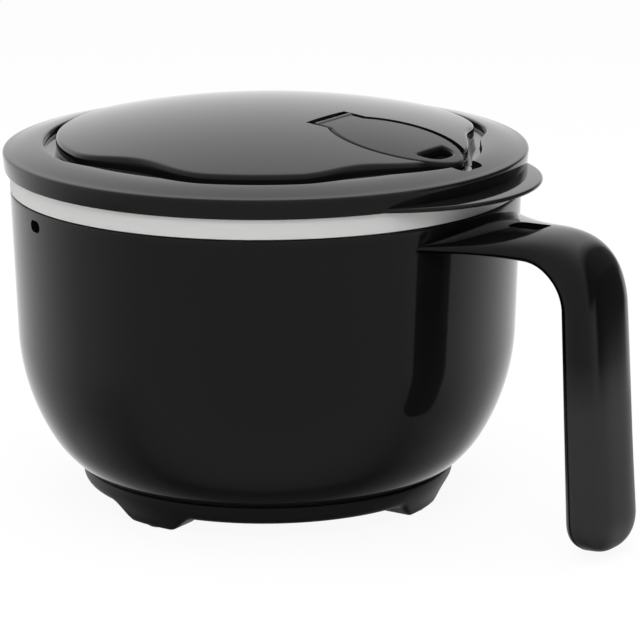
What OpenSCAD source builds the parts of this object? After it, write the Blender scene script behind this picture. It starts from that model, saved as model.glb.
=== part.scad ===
// Double-walled noodle and soup bowl with a one-sided handle and a lid with a flip-up vent flap.
// Millimetres. The origin is the point on the table under the bowl's axis, +Z is up and the
// handle points along +X. The bowl stands on four foot pads.

/* [Outer shell] */
// Outer radius at the shell's top edge
shell_r = 78; // [72:0.5:84]
// Height of the shell's top edge above the table
shell_top = 97; // [93:0.5:110]
// How far the side wall draws in between the top edge and the belly
shell_draft = 1.6; // [0.6:0.1:2.4]
// Height at which the belly begins to curve in
belly_z = 53.2; // [50:0.2:56]
// Radius of the belly curve in section
belly_r = 65.2; // [63:0.1:67]
// Radius of the tighter curve under the belly, towards the base
turn_r = 36; // [33:0.5:38]
// Thickness of the moulded shell
shell_wall = 2.2; // [1.8:0.1:2.4]
// Width of the oval breather hole near the top edge
breather_w = 6; // [4:0.5:8]
// Height of the breather hole
breather_h = 3.6; // [2:0.2:5]
// Bearing of the breather hole, counted from the handle
breather_angle = 243; // [200:1:300]

/* [Steel liner] */
// Thickness of the steel sheet
sheet = 0.7; // [0.5:0.05:0.9]
// Height of the rim above the shell's top edge
rim_rise = 8.4; // [7:0.1:10]
// Space between the liner's straight wall and the shell at the rim
rim_space = 2.9; // [2.6:0.1:3.4]
// Insulating space between liner and shell at the belly
belly_space = 4; // [3:0.1:5]
// Insulating space under the liner's floor
floor_space = 4.4; // [3.5:0.1:6]
// Radius between the liner's floor and its side
liner_corner = 12; // [8:0.5:16]

/* [Base and feet] */
// Height of the joint line between shell and base cover
base_top = 11; // [10:0.1:13]
// Height of the base cover's underside
base_z = 5; // [4.4:0.1:5.8]
// How far the base cover stands proud of the shell at the joint line
base_lip = 1.7; // [1:0.1:2.4]
// Thickness of the base cover
base_wall = 2.4; // [2:0.1:3]
// Distance of the feet's centres from the edge of the base cover
foot_inset = 8.5; // [8:0.1:11]
// Bearing of the first foot, counted from the handle
foot_bearing = 8; // [0:1:15]
// Bearing between the two feet of a pair
foot_spread = 75; // [70:1:90]
// Width of a foot at its sole
foot_w = 15; // [13:0.5:18]
// Width of a foot where it leaves the base ring
foot_flare = 29; // [24:0.5:31]
// Diameter of the rubber pad in a foot
pad_d = 8.4; // [7.6:0.2:9]
// How far the pads stand out of the feet
pad_proud = 0.8; // [0.4:0.1:1.2]
// Shank diameter of the base and handle screws
screw_d = 2.2; // [1.8:0.1:2.4]

/* [Handle] */
// Distance from the bowl's axis to the centre line of the grip below the bend
grip_x = 116.4; // [112:0.2:124]
// Width of the grip
grip_w = 28; // [24:0.5:31]
// Thickness of the grip just below the bend
grip_t_top = 11; // [9:0.2:12]
// Thickness of the grip near its tip
grip_t_tip = 14.2; // [11:0.2:15.4]
// Height of the grip's tip above the table
grip_tip_z = 1; // [0.6:0.1:8]
// Outward lean of the grip
grip_lean = 3; // [0:0.5:6]
// Radius of the bend along its centre line
bend_r = 17.5; // [14:0.5:20]
// Width over the root's wings where they meet the shell
root_w = 56; // [50:1:66]
// Thickness of the root at the shell
root_t = 5.6; // [5:0.1:7]
// Thickness of the arm where the bend begins
arm_t = 7.6; // [6.6:0.1:9]
// Depth of the root's centre line below the shell's top edge
root_drop = 5.6; // [5:0.1:8]
// Angle at which the arm rises from the shell
arm_rise = -2; // [-4:0.5:6]
// Length of the recess on top of the arm
slot_l = 11.6; // [8:0.2:13]
// Width of the recess
slot_w = 8; // [5:0.2:9]
// Depth of the recess
slot_depth = 3; // [1.5:0.1:3.4]

/* [Lid] */
// Running space between the rim and the lid's skirt
skirt_gap = 0.4; // [0.3:0.05:0.6]
// Thickness of the skirt at its lower edge
skirt_t = 1.25; // [1:0.05:1.8]
// How far the skirt hangs below the rim
skirt_lap = 1.8; // [1:0.1:3]
// Thickness of the lid's plate and of the flange at its edge
plate_t = 2.2; // [1.8:0.1:2.6]
// How far the flange rises from its edge to the groove
flange_rise = 2.2; // [1.6:0.1:2.8]
// Depth of the guide wall that reaches into the liner
guide_depth = 8; // [6:0.5:12]
// How far the thumb tab reaches from the bowl's axis
tab_reach = 90.7; // [88:0.1:96]
// Radius of the thumb tab's edge
tab_r = 47.4; // [44:0.2:56]
// Thickness of the thumb tab
tab_t = 1.4; // [1:0.1:2]
// Thickness of the silicone seal where it lies on the rim
seal_t = 2; // [1.6:0.1:2.6]

/* [Dome] */
// Height of the dome's crown above the lid's plate
dome_h = 12; // [11.4:0.1:14]
// Radius of the dome's spherical top
dome_r = 263; // [240:1:320]
// Outer radius of the groove round the dome, away from its waists
groove_r = 68.8; // [67:0.1:69.4]
// Width of the groove
groove_w = 3.8; // [3:0.1:4.4]
// Depth of the two large waists in the dome's outline
waist_depth = 5.4; // [2:0.2:7]
// Bearing of the large waists from the flap
waist_angle = 94; // [88:1:104]
// Depth of the two small waists beside the flap
nip_depth = 3.4; // [1:0.2:4.6]
// Bearing of the small waists from the flap
nip_angle = 29; // [27:1:34]
// How far the outline swells round the flap's tip
tip_swell = 2.2; // [1:0.1:2.6]
// Wall thickness of the dome
dome_wall = 2; // [1.6:0.1:2.4]
// Rounding of the dome's edge
dome_edge = 1.5; // [0.8:0.1:1.8]

/* [Vent flap] */
// Distance of the hinge pin from the bowl's axis
hinge_x = 24.6; // [22:0.2:27]
// Width of the flap at the hinge
neck_w = 18.6; // [15:0.2:20]
// Greatest width of the flap
leaf_w = 33; // [28:0.5:34]
// Length of the flap's leaf
leaf_l = 45; // [42:0.5:47]
// Distance of the leaf's tip from the bowl's axis
leaf_tip = 70; // [69:0.1:70.4]
// Thickness of the flap at its ends
flap_t = 2; // [1.8:0.1:2.2]
// Space round the flap
flap_gap = 0.5; // [0.35:0.05:0.7]
// Diameter of the hinge pin
pin_d = 1.6; // [1.2:0.1:1.8]
// Running space between the pin and the flap's bore
pin_fit = 0.06; // [0.03:0.01:0.1]
// Diameter of the hinge barrel
barrel_d = 3.8; // [3.4:0.1:4]
// Width of the finger opening across the flap
eye_w = 13.6; // [11:0.2:14]
// Height of the finger opening along the flap
eye_h = 5.7; // [5:0.1:6.2]
// Distance of the finger opening's straight side from the bowl's axis
eye_x = 59.5; // [58.5:0.1:60.5]
// Distance of the steam hole from the bowl's axis
vent_x = 44; // [38:0.5:50]
// Diameter of the steam hole
vent_d = 3.8; // [3:0.1:3.9]
// Diameter of the stopper's disc
stopper_d = 10; // [8:0.5:12]

/* [Hidden] */
$fn = 96;
eps = 0.01;
big = 400;

// Section of the shell. The belly is an arc that leaves the straight wall tangentially.
wall_slope = shell_draft / (shell_top - belly_z);
wall_tilt = atan(wall_slope);
belly_c = [
    shell_r - shell_draft - belly_r * cos(wall_tilt),
    belly_z + belly_r * sin(wall_tilt)
];
// Under the belly a tighter arc turns towards the base.
turn_floor = base_top - 5;
turn_rise = belly_c[1] - turn_floor - turn_r;
turn_run = sqrt((belly_r - turn_r) * (belly_r - turn_r) - turn_rise * turn_rise);
turn_a = -atan2(turn_rise, turn_run);
turn_c = [belly_c[0] + turn_run, turn_floor + turn_r];
shell_in = shell_r - shell_wall;
shell_floor = base_top + shell_wall;
rim_top = shell_top + rim_rise;
neck_top = rim_top - sheet;
neck_gap = 0.2;
band_gap = 0.4;
rim_round = 1.2;
edge_round = 0.5;

// Section of the liner.
liner_out = shell_in - rim_space;
liner_in = liner_out - sheet;
liner_belly = belly_r - shell_wall - belly_space;
liner_floor = shell_floor + floor_space;

// Base.
base_out = turn_x(base_top, turn_r) + base_lip;
base_seat_in = turn_x(base_top, turn_r) - 1.4;
base_floor = base_z + base_wall;
foot_r = base_out - foot_inset;
base_screw_l = 5.6;
boss_r = screw_d / 2 + 1.6;
head_r = screw_d / 2 + 1;
head_t = 1.2;
pad_t = 2;
pad_fit = 0.05;
foot_sole = pad_proud;
foot_edge = 1.2;
foot_corner = 4;
head_fit = 0.2;
screw_z = pad_t + head_t + head_fit;

// Lid heights.
plate_z = rim_top + seal_t;
plate_top = plate_z + plate_t;
skirt_z = rim_top - skirt_lap;
skirt_in = shell_r + skirt_gap;
skirt_out = skirt_in + skirt_t;
skirt_flare = 0.5;
guide_out = liner_in - 0.8;
guide_t = 1.8;
flange_round = 0.9;
flange_in = 66;
notch_l = 10.6;
notch_w = 12;
notch_r = 3;
seal_lip = 0.5;
seal_depth = 5;
crown_z = plate_top + dome_h;
dome_c = crown_z - dome_r;
waist_span = 24;
nip_span = 18;
tip_span = 18;
back_draw = 1.8;

// Flap: its underside is a plane that follows the chord of the dome's top.
barrel_r = barrel_d / 2;
pin_z = cap_z(hinge_x) - barrel_r - 0.05;
under_in = [hinge_x, cap_z(hinge_x) - flap_t];
under_out = [leaf_tip, cap_z(leaf_tip) - flap_t];
under_tilt = atan((under_in[1] - under_out[1]) / (under_out[0] - under_in[0]));
leaf_c = leaf_tip - leaf_l / 2;
leaf_power = 0.62;
floor_gap = 0.4;
hinge_end_gap = 0.8;
tray_wall = 3;
pin_hold = 1.6;
stopper_t = 1.2;
nub_r = vent_d / 2 - 0.7;
nub_l = 2;
stem_r = 1.4;
stem_l = 1.4;

// Handle.
arm_x = grip_x - bend_r * (sin(arm_rise) + cos(grip_lean));
arm_z = shell_top - root_drop + (arm_x - shell_r) * tan(arm_rise);
bend_c = [arm_x + bend_r * sin(arm_rise), arm_z - bend_r * cos(arm_rise)];
grip_top = [grip_x, bend_c[1] + bend_r * sin(grip_lean)];
grip_l = (grip_top[1] - grip_tip_z) / cos(grip_lean);
bend_turn = 90 + arm_rise - grip_lean;
flare_x = arm_x + 7;
flare_power = 2.2;
slot_start = 10.4;
tip_round = 11;
split = -0.4;
split_gap = 0.08;
seat_gap = 0.06;
root_n = 9;
bend_n = 12;
grip_n = 8;
tip_n = 8;
half_n = 11;
handle_screw_y = 12;
handle_screw_l = 8;
handle_pad = 0.6;

// Radius of the bowl at height z on the tighter curve, or on one inside it of radius r.
function turn_x(z, r) = turn_c[0] + sqrt(r * r - (turn_c[1] - z) * (turn_c[1] - z));
// Outer radius of the shell's straight wall at height z.
function wall_x(z) = shell_r - (shell_top - z) * wall_slope;
function arc(c, r, a0, a1, n) =
    [for (i = [0:n]) let (a = a0 + (a1 - a0) * i / n) c + r * [cos(a), sin(a)]];
// The shell's curve, set in by w, from the end of the straight wall down to height z.
function shell_curve(w, z) =
    concat(
        arc(belly_c, belly_r - w, -wall_tilt, turn_a, 10),
        arc(turn_c, turn_r - w, turn_a, -asin((turn_c[1] - z) / (turn_r - w)), 10)
    );
// The liner's curve from the end of its straight wall to the axis: belly arc of radius r, a
// corner of radius q and a flat floor at height z.
function bowl_curve(r, z, q) =
    let (rise = belly_c[1] - z - q)
    let (run = sqrt((r - q) * (r - q) - rise * rise))
    let (a = -atan2(rise, run))
    concat(
        arc(belly_c, r, -wall_tilt, a, 14),
        arc([belly_c[0] + run, z + q], q, a, -90, 6),
        [[0, z]]
    );
function reversed(v) = [for (i = [len(v) - 1:-1:0]) v[i]];
// Height of the dome's spherical top at distance r from the axis.
function cap_z(r) = dome_c + sqrt(dome_r * dome_r - r * r);
// A smooth bump, 1 at x = 0 and 0 from x = 1 on.
function bump(x) = abs(x) < 1 ? (1 + cos(180 * x)) / 2 : 0;
// Outer edge of the groove round the dome at bearing a, the same on both sides of the flap.
function groove_edge(a) =
    let (b = abs(a > 180 ? a - 360 : a))
    groove_r
        - waist_depth * bump((b - waist_angle) / waist_span)
        - nip_depth * bump((b - nip_angle) / nip_span)
        + tip_swell * bump(b / tip_span)
        - back_draw * bump((180 - b) / 90);
function dome_edge_r(a, inset) = groove_edge(a) - groove_w - inset;
function polar(r, a) = [r * cos(a), r * sin(a)];

// Points of the handle's centre line, with the heading there.
function spine(k) =
    k <= root_n
        ? let (x = shell_r + (arm_x - shell_r) * k / root_n)
          [x, arm_z - (arm_x - x) * tan(arm_rise), arm_rise]
        : k <= root_n + bend_n
        ? let (h = arm_rise - bend_turn * (k - root_n) / bend_n)
          [bend_c[0] - bend_r * sin(h), bend_c[1] + bend_r * cos(h), h]
        : let (s = grip_s(k))
          [grip_top[0] + s * sin(grip_lean), grip_top[1] - s * cos(grip_lean), grip_lean - 90];
// Distance down the grip at section k; the last sections crowd into the rounded tip.
function grip_s(k) =
    let (j = k - root_n - bend_n)
    j <= grip_n
        ? (grip_l - tip_round) * j / grip_n
        : grip_l - tip_round + tip_round * sin(88 * (j - grip_n) / tip_n);
function tip_u(k) = max(0, (grip_s(k) - grip_l + tip_round) / tip_round);
function spine_end() = root_n + bend_n + grip_n + tip_n;
function half_width(k) =
    let (u = min(1, (spine(k)[0] - shell_r) / (flare_x - shell_r)))
    k <= root_n + 4
        ? grip_w / 2 + (root_w - grip_w) / 2 * pow(1 - u, flare_power)
        : grip_w / 2 * (k <= root_n + bend_n ? 1 : pow(1 - pow(tip_u(k), 2.2), 0.5));
function half_thick(k) =
    k <= root_n
        ? (root_t + (arm_t - root_t) * k / root_n) / 2
        : k <= root_n + bend_n
        ? (arm_t + (grip_t_top - arm_t) * (k - root_n) / bend_n) / 2
        : let (s = grip_s(k) / grip_l)
          (grip_t_top + (grip_t_tip - grip_t_top) * s) / 2 * pow(1 - pow(tip_u(k), 3), 0.4);
// Superellipse power of the section: lens-like at the root, fuller in the grip.
function fullness(k) = min(2.9, 2.2 + 0.7 * k / (root_n + 5));
function signed_pow(x, p) = sign(x) * pow(abs(x), p);
// One ring of points round the handle between two bearings in its section. Near the root the
// ring bends back to follow the shell; the first one lies inside the shell's wall.
function ring(k, a0, a1) =
    let (p = spine(k))
    let (b = half_width(k))
    let (t = half_thick(k))
    let (f = 2 / fullness(k))
    let (fade = max(0, 1 - k / root_n))
    [for (i = [0:2 * half_n])
        let (a = a0 + (a1 - a0) * i / (2 * half_n))
        let (y = b * signed_pow(cos(a), f))
        let (w = t * signed_pow(sin(a), f))
        let (x = p[0] - w * sin(p[2]))
        let (z = p[1] + w * cos(p[2]))
        let (r = wall_x(z) - 1)
        [x + fade * (sqrt(r * r - y * y) - shell_r + w * sin(p[2])), y, z]];

module revolve(points) {
    rotate_extrude() polygon(points);
}

// Solid swept through rings of equal length, closed by a flat face at each end.
module loft(rings) {
    n = len(rings[0]);
    m = len(rings);
    faces = concat(
        [[for (i = [0:n - 1]) i]],
        [for (k = [0:m - 2], i = [0:n - 1])
            each [
                [k * n + i, (k + 1) * n + i, (k + 1) * n + (i + 1) % n],
                [k * n + i, (k + 1) * n + (i + 1) % n, k * n + (i + 1) % n]
            ]],
        [[for (i = [n - 1:-1:0]) (m - 1) * n + i]]
    );
    polyhedron([for (r = rings) each r], faces);
}

module round_slot(l, w) {
    hull_x = l / 2 - w / 2;
    union() {
        translate([-hull_x, 0]) circle(d = w);
        translate([hull_x, 0]) circle(d = w);
        translate([-hull_x, -w / 2]) square([2 * hull_x, w]);
    }
}

function foot_angle(i) = foot_bearing + (i % 2) * foot_spread + (i > 1 ? 180 : 0);

module at_foot(i) {
    rotate(foot_angle(i)) translate([foot_r, 0, 0]) children();
}

module at_feet() {
    for (i = [0:3]) at_foot(i) children();
}

// ---- Bowl ----

module outer_shell() {
    color([0.07, 0.07, 0.08]) difference() {
        union() {
            revolve(concat(
                [[shell_in, neck_top], [shell_r - sheet - neck_gap, neck_top]],
                [[shell_r - sheet - neck_gap, shell_top], [shell_r - edge_round, shell_top]],
                arc([shell_r - edge_round, shell_top - edge_round], edge_round, 90, 0, 3),
                shell_curve(0, base_top),
                [[0, base_top], [0, shell_floor]],
                reversed(shell_curve(shell_wall, shell_floor))
            ));
            at_feet() translate([0, 0, base_floor])
                cylinder(r = boss_r, h = base_top - base_floor + shell_wall / 2);
            handle_screw_pads();
        }
        rotate(breather_angle) translate([shell_in - 2, 0, shell_top - 4.4])
            rotate([90, 0, 90]) linear_extrude(shell_wall + 4) round_slot(breather_w, breather_h);
        at_feet() translate([0, 0, base_floor - eps])
            cylinder(d = screw_d, h = base_screw_l - 0.4);
        at_handle_screws() translate([-8, 0, 0]) cylinder_x(screw_d / 2 + 0.1, 20);
    }
}

module cylinder_x(r, l) {
    rotate([0, 90, 0]) cylinder(r = r, h = l);
}

module at_handle_screws() {
    for (s = [-1, 1])
        translate([
            sqrt(pow(wall_x(handle_screw_z()), 2) - pow(handle_screw_y, 2)),
            s * handle_screw_y,
            handle_screw_z()
        ]) children();
}

function handle_screw_z() = shell_top - root_drop + root_t * 0.2;

// Flat seats on the inside of the wall for the heads of the handle screws.
module handle_screw_pads() {
    intersection() {
        at_handle_screws() translate([-shell_wall - handle_pad, 0, 0])
            cylinder_x(head_r + 0.8, shell_wall + handle_pad);
        cylinder(r = shell_r - 1, h = shell_top);
    }
}

module steel_liner() {
    color([0.78, 0.79, 0.80]) revolve(concat(
        reversed(bowl_curve(liner_belly, liner_floor, liner_corner)),
        [[liner_out, shell_top - 20], [liner_out, neck_top], [shell_r - sheet, neck_top]],
        [[shell_r - sheet, shell_top + band_gap]],
        arc([shell_r - sheet / 2, shell_top + band_gap + sheet / 2], sheet / 2, -90, 0, 3),
        arc([shell_r - rim_round, rim_top - rim_round], rim_round, 0, 90, 6),
        arc([liner_in + rim_round, rim_top - rim_round], rim_round, 90, 180, 6),
        [[liner_in, shell_top - 20]],
        bowl_curve(liner_belly - sheet, liner_floor + sheet, liner_corner - sheet)
    ));
}

module foot_block() {
    sole_r = pad_d / 2 + foot_edge;
    hull() {
        for (s = [-1, 1]) {
            translate([0, s * (foot_w / 2 - sole_r), foot_sole])
                cylinder(r = sole_r, h = 0.5, $fn = 32);
            for (x = [-foot_corner, 1.4])
                translate([x, s * (foot_flare / 2 - foot_corner), base_floor - 1.4])
                    cylinder(r = foot_corner, h = 0.5, $fn = 32);
        }
    }
}

module base_cover() {
    color([0.05, 0.05, 0.05]) difference() {
        union() {
            difference() {
                union() {
                    revolve(concat(
                        [[0, base_z], [base_out - 4.2, base_z]],
                        arc([base_out - 4.2, base_z + 4.2], 4.2, -80, 0, 6),
                        [[base_out, base_top - 0.6], [base_out - 0.6, base_top]],
                        [[base_seat_in, base_top], [base_seat_in - 1.6, base_floor], [0, base_floor]]
                    ));
                    at_feet() foot_block();
                }
                translate([0, 0, base_floor])
                    cylinder(r1 = base_seat_in - 1.6, r2 = base_seat_in, h = base_top - base_floor + eps);
            }
            // Stiffening rings that rest under the shell's floor.
            for (r = [18, 34]) translate([0, 0, base_floor - eps]) difference() {
                cylinder(r = r + 0.8, h = base_top - base_floor + eps);
                translate([0, 0, -1]) cylinder(r = r - 0.8, h = base_top);
            }
        }
        at_feet() {
            translate([0, 0, -eps]) cylinder(r = screw_d / 2 + 0.15, h = base_top);
            translate([0, 0, -eps]) cylinder(r = pad_d / 2 + pad_fit, h = pad_t + eps);
            translate([0, 0, -eps]) cylinder(r = head_r + head_fit, h = screw_z + eps);
        }
    }
}

module foot_pad(i) {
    color([0.12, 0.12, 0.12]) at_foot(i - 1) difference() {
        rotate_extrude() polygon(concat(
            [[0, pad_t], [0, 0]],
            arc([pad_d / 2 - 0.5, 0.5], 0.5, -90, 0, 3),
            [[pad_d / 2, pad_t]]
        ));
        // Dimple in the hidden upper face, over the screw head.
        translate([0, 0, pad_t - 0.3]) cylinder(r = head_r - 0.6, h = 1);
    }
}

module pan_screw(l) {
    cylinder(d = screw_d - 0.04, h = l);
    translate([0, 0, -head_t]) difference() {
        cylinder(r = head_r, h = head_t);
        for (a = [0, 90]) rotate(a) translate([-head_r * 0.6, -0.25, -eps]) cube([head_r * 1.2, 0.5, 0.6]);
    }
}

module base_screws() {
    color([0.6, 0.6, 0.62]) at_feet() translate([0, 0, screw_z]) pan_screw(base_screw_l);
}

// ---- Handle ----

// Bearing in the section at which the parting face crosses the side of the handle.
function split_angle(k, w) = asin(signed_pow(w, fullness(k) / 2));

module handle_half(top) {
    difference() {
        loft([for (k = [0:spine_end()])
            let (a = split_angle(k, split + (top ? 1 : -1) * split_gap / half_thick(k) / 2))
            top ? ring(k, a, 180 - a) : ring(k, 180 - a, 360 + a)]);
        // The root is hollowed to the shell's outer surface.
        cylinder(r1 = wall_x(0) + seat_gap, r2 = shell_r + seat_gap, h = shell_top);
    }
}

module arm_recess() {
    slot_x = shell_r + slot_start + slot_l / 2;
    slot_z = shell_top - root_drop + (slot_x - shell_r) * tan(arm_rise) + (root_t + arm_t) / 4;
    translate([slot_x, 0, slot_z - slot_depth]) rotate([0, -arm_rise, 0])
        linear_extrude(slot_depth + 4) round_slot_corners(slot_l, slot_w, 2);
}

module round_slot_corners(l, w, r) {
    union() {
        square([l - 2 * r, w], center = true);
        square([l, w - 2 * r], center = true);
        for (x = [-1, 1], y = [-1, 1]) translate([x * (l / 2 - r), y * (w / 2 - r)]) circle(r = r);
    }
}

module handle_shell() {
    color([0.06, 0.06, 0.07]) difference() {
        handle_half(true);
        arm_recess();
        at_handle_screws() translate([-4, 0, 0]) cylinder_x(screw_d / 2, handle_screw_l + 4);
    }
}

module handle_cover() {
    color([0.08, 0.08, 0.09]) handle_half(false);
}

module handle_screws() {
    color([0.6, 0.6, 0.62]) at_handle_screws()
        translate([-shell_wall - handle_pad, 0, 0]) rotate([0, 90, 0])
            pan_screw(shell_wall + handle_pad + handle_screw_l - 0.5);
}

// ---- Lid ----

module groove_outline() {
    polygon([for (a = [0:3:357]) polar(groove_edge(a), a)]);
}

module lid_body() {
    edge_top = plate_top - flange_round;
    edge_r = skirt_out + skirt_flare;
    color([0.06, 0.06, 0.07]) difference() {
        union() {
            revolve(concat(
                [[0, plate_z], [guide_out - guide_t, plate_z]],
                [[guide_out - guide_t, plate_z - guide_depth], [guide_out, plate_z - guide_depth]],
                [[guide_out, plate_z], [skirt_in, plate_z], [skirt_in, skirt_z]],
                [[skirt_out, skirt_z]],
                arc([edge_r - flange_round, edge_top], flange_round, 0, 80, 5),
                [for (i = [0:6]) let (r = edge_r - 2 - (edge_r - 2 - flange_in) * i / 6)
                    [r, plate_top + 0.2 + flange_rise * sin(90 * i / 6)]],
                [[0, plate_top + 0.2 + flange_rise]]
            ));
            thumb_tab();
        }
        translate([0, 0, plate_top]) linear_extrude(big) groove_outline();
        finger_notch();
        steam_hole();
    }
}

module thumb_tab() {
    translate([0, 0, skirt_z]) difference() {
        translate([tab_reach - tab_r, 0, 0]) union() {
            cylinder(r = tab_r - 0.4, h = tab_t);
            translate([0, 0, 0.4]) cylinder(r = tab_r, h = tab_t - 0.8);
        }
        translate([0, 0, -1]) cylinder(r = skirt_in + skirt_t / 2, h = tab_t + 2);
        translate([-big, -big / 2, -1]) cube([big + 20, big, tab_t + 2]);
    }
}

// Notch in the flange that lets a fingertip reach under the flap.
module finger_notch() {
    translate([leaf_tip, 0, plate_top]) linear_extrude(flange_rise + 1)
        round_slot_corners(notch_l, notch_w, notch_r);
}

module lid_seal() {
    color([0.75, 0.75, 0.75]) revolve([
        [guide_out + 0.05, plate_z], [guide_out + 0.05, plate_z - seal_depth],
        [guide_out + seal_lip, plate_z - seal_depth + 0.6], [guide_out + seal_lip, rim_top],
        [shell_r - rim_round, rim_top], [shell_r - rim_round, plate_z]
    ]);
}

// Dome with the lobed outline and a rounded edge.
module dome_form() {
    step = 4;
    function inner_r(a) = dome_edge_r(a, dome_edge);
    function ring_at(f) = [for (a = [0:step:359])
        let (r = f * inner_r(a)) [each polar(r, a), cap_z(r)]];
    function edge_ring(t) = [for (a = [0:step:359])
        let (r = inner_r(a) + dome_edge * sin(t))
        [each polar(r, a), cap_z(inner_r(a)) - dome_edge * (1 - cos(t))]];
    loft(concat(
        [[for (a = [0:step:359]) [each polar(dome_edge_r(a, 0), a), plate_top - 3]]],
        [for (t = [90:-30:0]) edge_ring(t)],
        [for (f = [0.84, 0.67, 0.5, 0.33, 0.17, 0.04]) ring_at(f)]
    ));
}

// Solid under the dome's spherical top, or under the same top lowered by d.
module crown(d) {
    rotate_extrude() intersection() {
        translate([0, dome_c]) circle(r = dome_r - d, $fn = 1440);
        translate([0, plate_top - d]) square([leaf_tip + 4, dome_h + d + 1]);
    }
}

// Hollow of the dome; the tray under the flap stays solid.
module dome_hollow() {
    difference() {
        intersection() {
            crown(dome_wall);
            linear_extrude(big)
                polygon([for (a = [0:4:359]) polar(dome_edge_r(a, dome_wall + 0.2), a)]);
        }
        linear_extrude(big) flap_plan(flap_gap + tray_wall, barrel_r + hinge_end_gap + tray_wall);
    }
}

// Plan of the flap, grown by g on all sides.
module flap_plan(g, end_gap) {
    n = 20;
    half = leaf_l / 2 + g;
    union() {
        translate([hinge_x - end_gap, -neck_w / 2 - g])
            square([leaf_c - hinge_x + end_gap, neck_w + 2 * g]);
        translate([leaf_c, 0]) polygon([
            for (s = [1, -1], i = [0:n - 1])
                let (c = s * cos(180 * i / n))
                half * [c, 0] + s * [0, (leaf_w / 2 + g) * pow(1 - c * c, leaf_power)]
        ]);
    }
}

// Half-space above the flap's underside, lowered by d.
module above_underside(d) {
    translate([under_in[0], 0, under_in[1] - d]) rotate([0, under_tilt, 0])
        translate([-60, -60, 0]) cube([160, 120, 60]);
}

module flap_pocket() {
    intersection() {
        translate([0, 0, plate_top - 1]) linear_extrude(big)
            flap_plan(flap_gap, barrel_r + hinge_end_gap);
        union() {
            above_underside(floor_gap);
            translate([hinge_x, 0, pin_z]) rotate([90, 0, 0])
                cylinder(r = barrel_r + floor_gap, h = neck_w + 2, center = true);
            translate([hinge_x - big, -big / 2, pin_z]) cube([big, big, big]);
        }
    }
    at_vent() translate([0, 0, -stopper_t - floor_gap]) cylinder(d = stopper_d + 1.2, h = 6);
    steam_hole();
}

// Centre of the stopper's seat on the flap's underside, square to it.
module at_vent() {
    translate([vent_x, 0, under_in[1] - (vent_x - under_in[0]) * tan(under_tilt)])
        rotate([0, under_tilt, 0]) children();
}

module steam_hole() {
    at_vent() translate([0, 0, -20]) cylinder(d = vent_d, h = 20);
}

module lid_dome() {
    color([0.07, 0.07, 0.08]) difference() {
        dome_form();
        // The dome's foot is cut level with the bottom of the groove.
        translate([0, 0, plate_top - 6]) cylinder(r = groove_r + 10, h = 6);
        dome_hollow();
        flap_pocket();
        translate([hinge_x, 0, pin_z]) rotate([90, 0, 0])
            cylinder(d = pin_d, h = neck_w + 2 * (flap_gap + pin_hold), center = true);
    }
}

module flap_pin() {
    color([0.7, 0.7, 0.72]) translate([hinge_x, 0, pin_z]) rotate([90, 0, 0])
        cylinder(d = pin_d, h = neck_w + 2 * (flap_gap + pin_hold), center = true);
}

module vent_flap() {
    color([0.10, 0.10, 0.11]) difference() {
        union() {
            intersection() {
                crown(0);
                translate([0, 0, plate_top]) linear_extrude(dome_h + 1) flap_plan(0, 0);
                above_underside(0);
            }
            translate([hinge_x, 0, pin_z]) rotate([90, 0, 0])
                cylinder(r = barrel_r, h = neck_w, center = true);
        }
        translate([hinge_x, 0, pin_z]) rotate([90, 0, 0])
            cylinder(r = pin_d / 2 + pin_fit, h = neck_w + 2, center = true);
        translate([eye_x, 0, plate_top]) linear_extrude(20) eye();
        at_vent() translate([0, 0, -1]) cylinder(r = stem_r, h = 1 + stem_l);
    }
}

// Opening with a straight side towards the hinge and a full round side towards the tip.
module eye() {
    n = 20;
    polygon([for (i = [0:n]) let (t = 180 * i / n)
        [eye_h * sin(t), -eye_w / 2 * signed_pow(cos(t), 2 / 3)]]);
}

module vent_stopper() {
    color([0.70, 0.70, 0.70]) at_vent() {
        translate([0, 0, -stopper_t]) cylinder(d = stopper_d, h = stopper_t);
        translate([0, 0, -stopper_t - nub_l]) cylinder(r = nub_r, h = nub_l + eps);
        translate([0, 0, -eps]) cylinder(r = stem_r - 0.03, h = stem_l * 0.8);
    }
}

outer_shell();
steel_liner();
base_cover();
foot_pad(1);  // foot_pad_1
foot_pad(2);  // foot_pad_2
foot_pad(3);  // foot_pad_3
foot_pad(4);  // foot_pad_4
base_screws();
handle_shell();
handle_cover();
handle_screws();
lid_body();
lid_dome();
lid_seal();
flap_pin();
vent_flap();
vent_stopper();
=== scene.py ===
"""Lidded double-walled soup bowl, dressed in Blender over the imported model.

Eight nodes of the model are rebuilt with finer forms, and the other nine are painted as
they are. Lengths are in millimetres until new_object makes metres of them.
"""

import math

import bmesh
import bpy
from mathutils import Matrix, Vector
from mathutils.geometry import delaunay_2d_cdt


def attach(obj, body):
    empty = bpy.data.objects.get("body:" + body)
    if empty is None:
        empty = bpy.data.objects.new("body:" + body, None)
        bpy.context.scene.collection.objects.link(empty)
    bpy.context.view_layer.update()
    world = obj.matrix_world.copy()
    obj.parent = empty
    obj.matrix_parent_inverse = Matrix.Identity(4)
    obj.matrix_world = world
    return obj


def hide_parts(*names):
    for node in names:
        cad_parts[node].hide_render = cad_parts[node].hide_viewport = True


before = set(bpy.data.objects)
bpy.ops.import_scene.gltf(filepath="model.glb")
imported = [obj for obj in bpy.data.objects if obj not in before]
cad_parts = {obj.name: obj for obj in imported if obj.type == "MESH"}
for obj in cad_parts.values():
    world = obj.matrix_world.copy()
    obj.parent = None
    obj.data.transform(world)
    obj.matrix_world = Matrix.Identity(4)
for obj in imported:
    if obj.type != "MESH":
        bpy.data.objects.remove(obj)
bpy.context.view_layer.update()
scene = bpy.context.scene
MM = 0.001

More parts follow.
